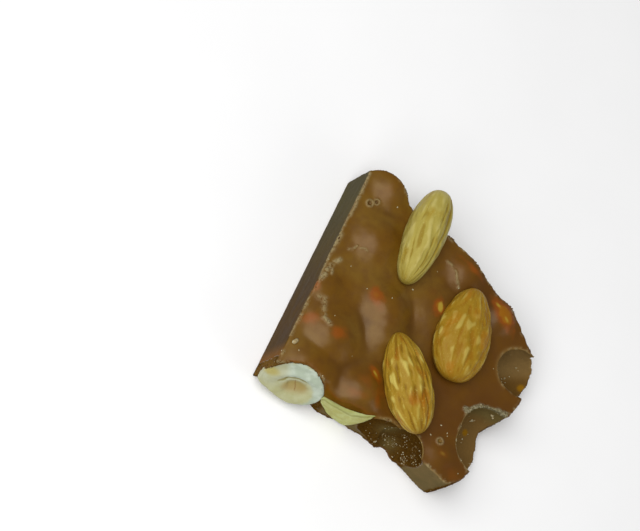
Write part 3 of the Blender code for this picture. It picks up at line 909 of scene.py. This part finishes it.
class Finish:
    """A material under construction."""

    def __init__(self, name, roughness, specular=0.5):
        self.material = bpy.data.materials.new(name)
        self.material.use_nodes = True
        self.tree = self.material.node_tree
        self.shader = self.tree.nodes["Principled BSDF"]
        self.shader.inputs["Roughness"].default_value = roughness
        self.shader.inputs["Specular IOR Level"].default_value = specular
        self.place = self.node("ShaderNodeTexCoord").outputs["Object"]

    def node(self, kind, **settings):
        made = self.tree.nodes.new(kind)
        for key, value in settings.items():
            setattr(made, key, value)
        return made

    def feed(self, socket, value):
        if isinstance(value, bpy.types.NodeSocket):
            self.tree.links.new(value, socket)
        else:
            socket.default_value = value

    def attribute(self, name):
        return self.node("ShaderNodeAttribute", attribute_name=name).outputs["Fac"]

    def noise(self, per_mm, detail=3.0, stretch=(1.0, 1.0, 1.0), roughness=0.55):
        mapping = self.node("ShaderNodeMapping")
        mapping.inputs["Scale"].default_value = stretch
        self.feed(mapping.inputs["Vector"], self.place)
        texture = self.node("ShaderNodeTexNoise")
        self.feed(texture.inputs["Vector"], mapping.outputs["Vector"])
        texture.inputs["Scale"].default_value = per_mm / MM
        texture.inputs["Detail"].default_value = detail
        texture.inputs["Roughness"].default_value = roughness
        return texture.outputs["Fac"]

    def ramp(self, value, low, high, to_low=0.0, to_high=1.0):
        made = self.node("ShaderNodeMapRange", interpolation_type='SMOOTHSTEP')
        self.feed(made.inputs["Value"], value)
        for key, number in zip(("From Min", "From Max", "To Min", "To Max"),
                               (low, high, to_low, to_high)):
            made.inputs[key].default_value = number
        return made.outputs["Result"]

    def math(self, operation, a, b):
        made = self.node("ShaderNodeMath", operation=operation)
        self.feed(made.inputs[0], a)
        self.feed(made.inputs[1], b)
        return made.outputs["Value"]

    def mix(self, share, a, b, kind='RGBA'):
        made = self.node("ShaderNodeMix", data_type=kind)
        for key, value in (("Factor", share), ("A", a), ("B", b)):
            self.feed(made.inputs[key], value)
        return made.outputs["Result"]

    def blend(self, share, a, b):
        return self.mix(share, a, b, 'FLOAT')

    def tones(self, value, low, high, first, second):
        """From the first display colour to the second as the value runs from low to high."""
        return self.mix(self.ramp(value, low, high), shown(*first), shown(*second))

    def layers(self, colour, *rows):
        """Lay display colours over a colour. A row: value or attribute, low, high, share, tone."""
        for value, low, high, share, tone in rows:
            if isinstance(value, str):
                value = self.attribute(value)
            colour = self.mix(self.ramp(value, low, high, 0.0, share), colour, shown(*tone))
        return colour

    def bump(self, height, distance, strength):
        made = self.node("ShaderNodeBump")
        made.inputs["Strength"].default_value = strength
        made.inputs["Distance"].default_value = distance * MM
        self.feed(made.inputs["Height"], height)
        return made.outputs["Normal"]

    def close(self, colour, roughness=None, normal=None):
        self.feed(self.shader.inputs["Base Color"], colour)
        if roughness is not None:
            self.feed(self.shader.inputs["Roughness"], roughness)
        if normal is not None:
            self.feed(self.shader.inputs["Normal"], normal)
        return self.material


PALE_CRUMBLE = (170, 152, 108)


def chocolate_finish():
    f = Finish("milk_chocolate_skin", 0.34, 0.38)
    f.shader.inputs["Specular Tint"].default_value = (1.0, 0.82, 0.62, 1.0)
    broad = f.noise(0.09, 2.0)
    cloudy = f.noise(0.42, 4.0)
    grain = f.noise(2.6, 5.0, roughness=0.7)
    specks = f.noise(3.4, 2.0)
    broken, pit = f.attribute("broken"), f.attribute("pit")
    left = f.tones(broad, 0.35, 0.65, (122, 91, 37), (113, 78, 28))
    right = f.tones(broad, 0.35, 0.65, (106, 71, 21), (96, 62, 15))
    # Painted shade: the valley layer darkens the chocolate between the covered nuts.
    colour = f.layers(f.mix(f.attribute("shade"), left, right),
                      (cloudy, 0.35, 0.75, 0.45, (94, 60, 14)),
                      ("valley_shade", 0.0, 1.0, 0.7, (82, 54, 12)),
                      ("film", 0.05, 0.75, 0.9, (144, 78, 14)),
                      ("film", 0.7, 1.05, 0.8, (158, 104, 16)),
                      ("core", 0.2, 0.8, 1.0, (180, 152, 58)))
    colour = f.mix(broken, colour, f.tones(grain, 0.35, 0.68, (80, 54, 16), (116, 87, 41)))
    # In the bowl and notch, painted shade darkens the front and painted light lifts the back and the
    # notch.
    pit_colour = f.mix(f.attribute("bowl"), f.tones(grain, 0.3, 0.7, (70, 48, 16), (96, 70, 32)),
                       f.tones(f.attribute("deep"), 0.0, 1.0, (140, 113, 70), (110, 82, 44)))
    pit_colour = f.mix(f.attribute("sheen"), pit_colour, shown(114, 98, 60))
    pit_colour = f.layers(pit_colour, ("stain", 0.2, 0.8, 1.0, (150, 108, 34)))
    colour = f.mix(pit, colour, pit_colour)
    # The flat splits' grey-tan is partly their own colour and partly a painted grazing reflection of the
    # pale floor.
    facet_tone_and_reflection = f.tones(cloudy, 0.3, 0.7, (116, 101, 68), (126, 107, 72))
    # Painted light: the lip layer lightens the socket's lip, the bowl's rim and the wall above the split
    # nut.
    colour = f.layers(f.mix(f.attribute("facet"), colour, facet_tone_and_reflection),
                      ("lit_lip", 0.1, 0.9, 0.8, (124, 94, 50)),
                      ("edge", 0.15, 0.7, 0.9, (146, 120, 72)))
    pale = f.math('MAXIMUM', f.math('MULTIPLY', f.attribute("rim"), f.ramp(specks, 0.34, 0.52)),
                  f.math('MULTIPLY', f.attribute("scuff"), f.ramp(specks, 0.26, 0.46)))
    colour = f.mix(pale, colour, shown(*PALE_CRUMBLE))
    crust = f.math('MULTIPLY', f.attribute("crust"), f.ramp(grain, 0.3, 0.5))
    colour = f.mix(crust, colour, f.tones(specks, 0.4, 0.6, (168, 160, 128), (128, 116, 80)))
    pale = f.math('MAXIMUM', pale, crust)
    roughness = f.blend(broken, f.ramp(cloudy, 0.3, 0.7, 0.3, 0.38), 0.62)
    roughness = f.blend(pit, roughness, 0.32)
    roughness = f.blend(pale, roughness, 0.8)
    dull = f.math('MAXIMUM', f.math('MAXIMUM', broken, pit), f.attribute("dull"))
    f.feed(f.shader.inputs["Specular IOR Level"], f.blend(dull, 0.38, 0.0))
    rough_share = f.math('MAXIMUM', f.math('MAXIMUM', f.math('MULTIPLY', broken, 0.6), pale),
                         f.math('MULTIPLY', pit, 0.2))
    height = f.math('MULTIPLY', grain, f.math('ADD', rough_share, 0.02))
    return f.close(colour, roughness, f.bump(height, 0.35, 1.0))


def mould_finish():
    """The wall that set against the tray: flat, dull, browner towards the front."""
    f = Finish("milk_chocolate_wall", 0.7, 0.1)
    split = f.node("ShaderNodeSeparateXYZ")
    f.feed(split.inputs["Vector"], f.place)
    back = split.outputs["Y"]
    cloudy = f.noise(0.3, 4.0, (1.0, 0.35, 1.0))
    streaks = f.noise(1.6, 3.0, (1.0, 0.15, 1.0))
    light = f.tones(back, -0.014, 0.022, (88, 65, 32), (86, 78, 48))
    dark = f.tones(back, -0.014, 0.022, (74, 53, 22), (74, 66, 36))
    colour = f.layers(f.mix(f.ramp(cloudy, 0.3, 0.7), dark, light),
                      (back, -0.0190, -0.0235, 1.0, (128, 84, 30)),
                      (streaks, 0.55, 0.75, 0.3, (100, 90, 60)))
    pale = f.math('MULTIPLY', f.math('MAXIMUM', f.attribute("rim"), f.attribute("scuff")),
                  f.ramp(f.noise(3.4, 2.0), 0.34, 0.52))
    colour = f.mix(pale, colour, shown(*PALE_CRUMBLE))
    return f.close(colour, f.ramp(cloudy, 0.3, 0.7, 0.62, 0.75), f.bump(streaks, 0.1, 0.5))


def almond_finish(name, node, light, base, deep, blot):
    """Colours from the crests down to the valleys, with toasted blots, in the nut's own axes."""
    f = Finish(name, 0.42, 0.2)
    f.shader.inputs["Specular Tint"].default_value = (1.0, 0.88, 0.6, 1.0)
    own = f.node("ShaderNodeMapping", vector_type='TEXTURE')
    f.feed(own.inputs["Vector"], f.place)
    centre, turn = almond_frame(node)
    own.inputs["Location"].default_value = to_row(centre)
    own.inputs["Rotation"].default_value = Matrix(turn.tolist()).to_euler('XYZ')
    f.place = own.outputs["Vector"]
    patches = f.noise(0.24, 3.0, (1.0, 0.5, 1.0))
    streaks = f.noise(0.8, 4.0, (1.0, 0.25, 1.0), 0.6)
    fibres = f.noise(2.4, 3.0, (1.0, 0.2, 1.0))
    pores = f.noise(2.6, 2.0)
    # Lighter crests are partly a painted highlight and darker valleys partly painted shade, over the
    # skin's own tones.
    colour = f.layers(f.tones(f.attribute("crest"), 0.0, 0.9, base, light),
                      (patches, 0.45, 0.68, 0.6, base), ("valley", 0.05, 0.9, 0.9, deep))
    toasted = f.math('MULTIPLY', f.attribute("blot"), f.ramp(streaks, 0.3, 0.6, 0.3, 0.8))
    colour = f.layers(f.mix(toasted, colour, shown(*blot)), (streaks, 0.56, 0.75, 0.5, deep),
                      ("ends", 0.35, 0.95, 0.6, deep), (pores, 0.62, 0.7, 0.5, light))
    roughness = f.ramp(streaks, 0.3, 0.7, 0.36, 0.5)
    height = f.math('ADD', f.math('MULTIPLY', fibres, 0.35), f.math('MULTIPLY', streaks, 0.5))
    return f.close(colour, roughness, f.bump(height, 0.25, 0.7))


def split_nut_finish():
    f = Finish("split_hazelnut", 0.5, 0.3)
    soft = f.noise(0.5, 3.0)
    grain = f.noise(2.2, 4.0)
    low = f.tones(soft, 0.3, 0.7, (192, 192, 148), (182, 180, 130))
    high = f.tones(soft, 0.3, 0.7, (190, 192, 160), (184, 184, 144))
    colour = f.mix(f.attribute("low"), high, low)
    crescent = f.tones(soft, 0.35, 0.6, (200, 211, 192), (180, 192, 170))
    colour = f.mix(f.ramp(f.attribute("crescent"), 0.1, 0.9), colour, crescent)
    floor = f.tones(soft, 0.3, 0.7, (182, 160, 106), (172, 150, 94))
    floor = f.mix(f.attribute("low"), shown(164, 148, 82), floor)
    # Painted shadow: the crease along the basin's upper edge is darkened olive.
    colour = f.layers(f.mix(f.ramp(f.attribute("basin"), 0.1, 0.9), colour, floor),
                      ("crease", 0.1, 0.9, 0.85, (142, 132, 70)),
                      ("skin", 0.15, 0.9, 0.85, (182, 168, 92)))
    colour = f.mix(f.attribute("crack"), colour, shown(134, 92, 40))
    return f.close(colour, f.ramp(grain, 0.3, 0.7, 0.42, 0.56), f.bump(grain, 0.12, 0.5))


def sliver_finish():
    f = Finish("hazelnut_sliver_flesh", 0.5, 0.3)
    soft = f.noise(0.45, 3.0)
    grain = f.noise(2.0, 4.0)
    colour = f.layers(f.tones(soft, 0.35, 0.65, (198, 202, 124), (186, 184, 96)),
                      ("skin", 0.3, 1.0, 0.4, (176, 168, 78)))
    upper = f.tones(soft, 0.3, 0.7, (184, 190, 126), (172, 174, 100))
    colour = f.layers(f.mix(f.attribute("upper"), colour, upper),
                      ("ridge", 0.1, 1.0, 0.7, (146, 144, 66)))
    return f.close(colour, f.ramp(grain, 0.3, 0.7, 0.42, 0.58), f.bump(grain, 0.14, 0.6))


def crumb_finish(name, light, dark):
    f = Finish(name, 0.65, 0.25)
    colour = f.tones(f.noise(1.3, 2.0), 0.4, 0.6, light, dark)
    return f.close(colour, 0.65, f.bump(f.noise(4.0, 2.0), 0.1, 0.6))


# --- crumbs ---------------------------------------------------------------------
CRUMB_CORNERS = np.array([(0, -1, 0.618), (0, 1, 0.618), (0, -1, -0.618), (0, 1, -0.618),
                          (0.618, 0, -1), (0.618, 0, 1), (-0.618, 0, -1), (-0.618, 0, 1),
                          (-1, 0.618, 0), (1, 0.618, 0), (-1, -0.618, 0), (1, -0.618, 0)]) / 1.18
CRUMB_FACES = np.array([
    (0, 5, 7), (5, 1, 7), (7, 1, 8), (7, 8, 10), (0, 7, 10), (0, 10, 2), (0, 2, 11), (0, 11, 5),
    (5, 11, 9), (5, 9, 1), (1, 9, 3), (1, 3, 8), (2, 10, 6), (2, 6, 4), (2, 4, 11), (11, 4, 9),
    (9, 4, 3), (3, 4, 6), (3, 6, 8), (8, 6, 10)])


def scatter(rng, points, normals, weights, count, size_low, size_high, flatness):
    """Small irregular grains that sit on the surface, as one array of points and faces."""
    pick = rng.choice(len(points), size=count, p=weights / weights.sum())
    spots_at, ups = points[pick], normals[pick]
    sizes = size_low + (size_high - size_low) * rng.random(count) ** 2.6
    verts, faces = [], []
    for index in range(count):
        up = ups[index]
        side = np.cross(up, rng.normal(size=3))
        side /= np.linalg.norm(side)
        other = np.cross(up, side)
        shape = CRUMB_CORNERS * rng.uniform(0.7, 1.25, (12, 1))
        shape = shape * (sizes[index], sizes[index] * rng.uniform(0.5, 1.0), sizes[index] * flatness)
        body = shape @ np.stack([side, other, up])
        verts.append(spots_at[index] + up * sizes[index] * flatness * 0.45 + body)
        faces.append(CRUMB_FACES + 12 * index)
    return np.concatenate(verts), np.concatenate(faces)


def vertex_normals(points, quads):
    a, b, c, d = (points[quads[:, i]] for i in range(4))
    across = np.cross(c - a, d - b)
    normals = np.stack([
        sum(np.bincount(quads[:, i], across[:, axis], len(points)) for i in range(4))
        for axis in range(3)], axis=1)
    return normals / np.maximum(np.linalg.norm(normals, axis=1, keepdims=True), 1e-9)


# --- making ---------------------------------------------------------------------
def make_chocolate():
    points, quads, attributes, mould = chocolate_mesh()
    mesh = add_piece("chocolate_slab", points, [quads], chocolate_finish(),
                     "chocolate", attributes).data
    mesh.materials.append(mould_finish())
    mesh.polygons.foreach_set("material_index", (mould[quads].mean(axis=1) > 0.5).astype(np.int32))
    return points, quads, attributes


def make_crumbs(points, quads, attributes):
    """Pale crumbs and dark flakes on the chocolate."""
    normals = vertex_normals(points, quads)
    rng = np.random.default_rng(3)
    clumps = smooth_step(-0.1, 0.7, Lattice(41)(points, 1.7)) + 0.04
    lifted = points[:, 2] > 0.6
    off_facet = 1.0 - attributes["facet"]
    gather = sum(attributes[key] * share for key, share in PALE_CRUMBS_ON.items())
    pale_weight = gather * clumps * lifted * (normals[:, 2] > -0.2) * off_facet
    verts, faces = scatter(rng, points, normals, pale_weight, 700, 0.04, 0.2, 0.6)
    for *place, size in LONE_CRUMBS:
        away = (points - place) ** 2 @ (30, 30, 2)
        near = np.exp(away.min() - away)
        more, more_faces = scatter(rng, points, normals, near, 1, size, size, 0.5)
        faces = np.concatenate([faces, more_faces + len(verts)])
        verts = np.concatenate([verts, more])
    add_piece("nut_crumbs", verts, [faces],
              crumb_finish("nut_crumb", (206, 198, 164), (176, 156, 112)))
    gather = sum(attributes[key] * share for key, share in DARK_FLAKES_ON.items())
    dark_weight = gather * (clumps + 0.2) * off_facet * lifted
    verts, faces = scatter(rng, points, normals, dark_weight, 1500, 0.1, 0.42, 0.4)
    add_piece("chocolate_flakes", verts, [faces],
              crumb_finish("chocolate_flake", (128, 98, 56), (88, 60, 24)))


def make_nuts():
    points, quads, attributes = split_nut_mesh()
    add_piece("hazelnut_split", points, [quads], split_nut_finish(),
              "hazelnut_half", attributes)
    points, quads, attributes = sliver_mesh()
    add_piece("hazelnut_shard", points, [quads], sliver_finish(),
              "hazelnut_sliver", attributes)
    tones = {
        "almond_back": ((196, 182, 106), (178, 162, 80), (152, 128, 46), (166, 136, 44)),
        "almond_right": ((186, 162, 78), (162, 126, 40), (154, 110, 32), (172, 118, 34)),
        "almond_front": ((200, 180, 90), (166, 132, 44), (134, 98, 18), (164, 100, 16)),
    }
    for name, colours in tones.items():
        points, quads, triangles, attributes = almond_mesh(name)
        add_piece(f"{name}_nut", points, [quads, triangles],
                  almond_finish(f"{name}_skin", name, *colours), name, attributes)


def make_stage():
    scene = bpy.context.scene
    scene.view_settings.view_transform = 'Standard'
    corners = np.array([(-1, -1, 0), (1, -1, 0), (1, 1, 0), (-1, 1, 0)]) * FLOOR_REACH
    mesh = fill_mesh("floor", corners, [np.array([(0, 1, 2, 3)])])
    f = Finish("pale_floor", 0.8, 0.2)
    f.close(f.mix(f.ramp(f.noise(0.02), 0.3, 0.7), (0.93, 0.93, 0.93, 1.0), (0.91, 0.91, 0.91, 1.0)))
    mesh.materials.append(f.material)
    floor = bpy.data.objects.new("floor", mesh)
    scene.collection.objects.link(floor)

    world = bpy.data.worlds.new("studio")
    world.use_nodes = True
    world.node_tree.nodes["Background"].inputs["Color"].default_value = (1.0, 1.0, 1.0, 1.0)
    world.node_tree.nodes["Background"].inputs["Strength"].default_value = SKY_STRENGTH
    scene.world = world
    for name, direction, distance, size, power in LIGHTS:
        light = bpy.data.lights.new(name, 'AREA')
        light.shape = 'DISK'
        light.size = size
        light.energy = power
        lamp = bpy.data.objects.new(name, light)
        towards = Vector(direction).normalized()
        lamp.location = towards * distance
        lamp.rotation_euler = towards.to_track_quat('Z', 'Y').to_euler()
        scene.collection.objects.link(lamp)


def make_camera():
    camera = bpy.data.cameras.new("camera")
    camera.lens = CAMERA_LENS
    camera.sensor_width = CAMERA_SENSOR
    camera.clip_start = 0.01
    obj = bpy.data.objects.new("camera", camera)
    obj.matrix_world = Matrix.Translation(CAMERA_PLACE) @ Matrix(CAMERA_AXES).transposed().to_4x4()
    bpy.context.scene.collection.objects.link(obj)
    bpy.context.scene.camera = obj


make_stage()
make_camera()
make_crumbs(*make_chocolate())
make_nuts()
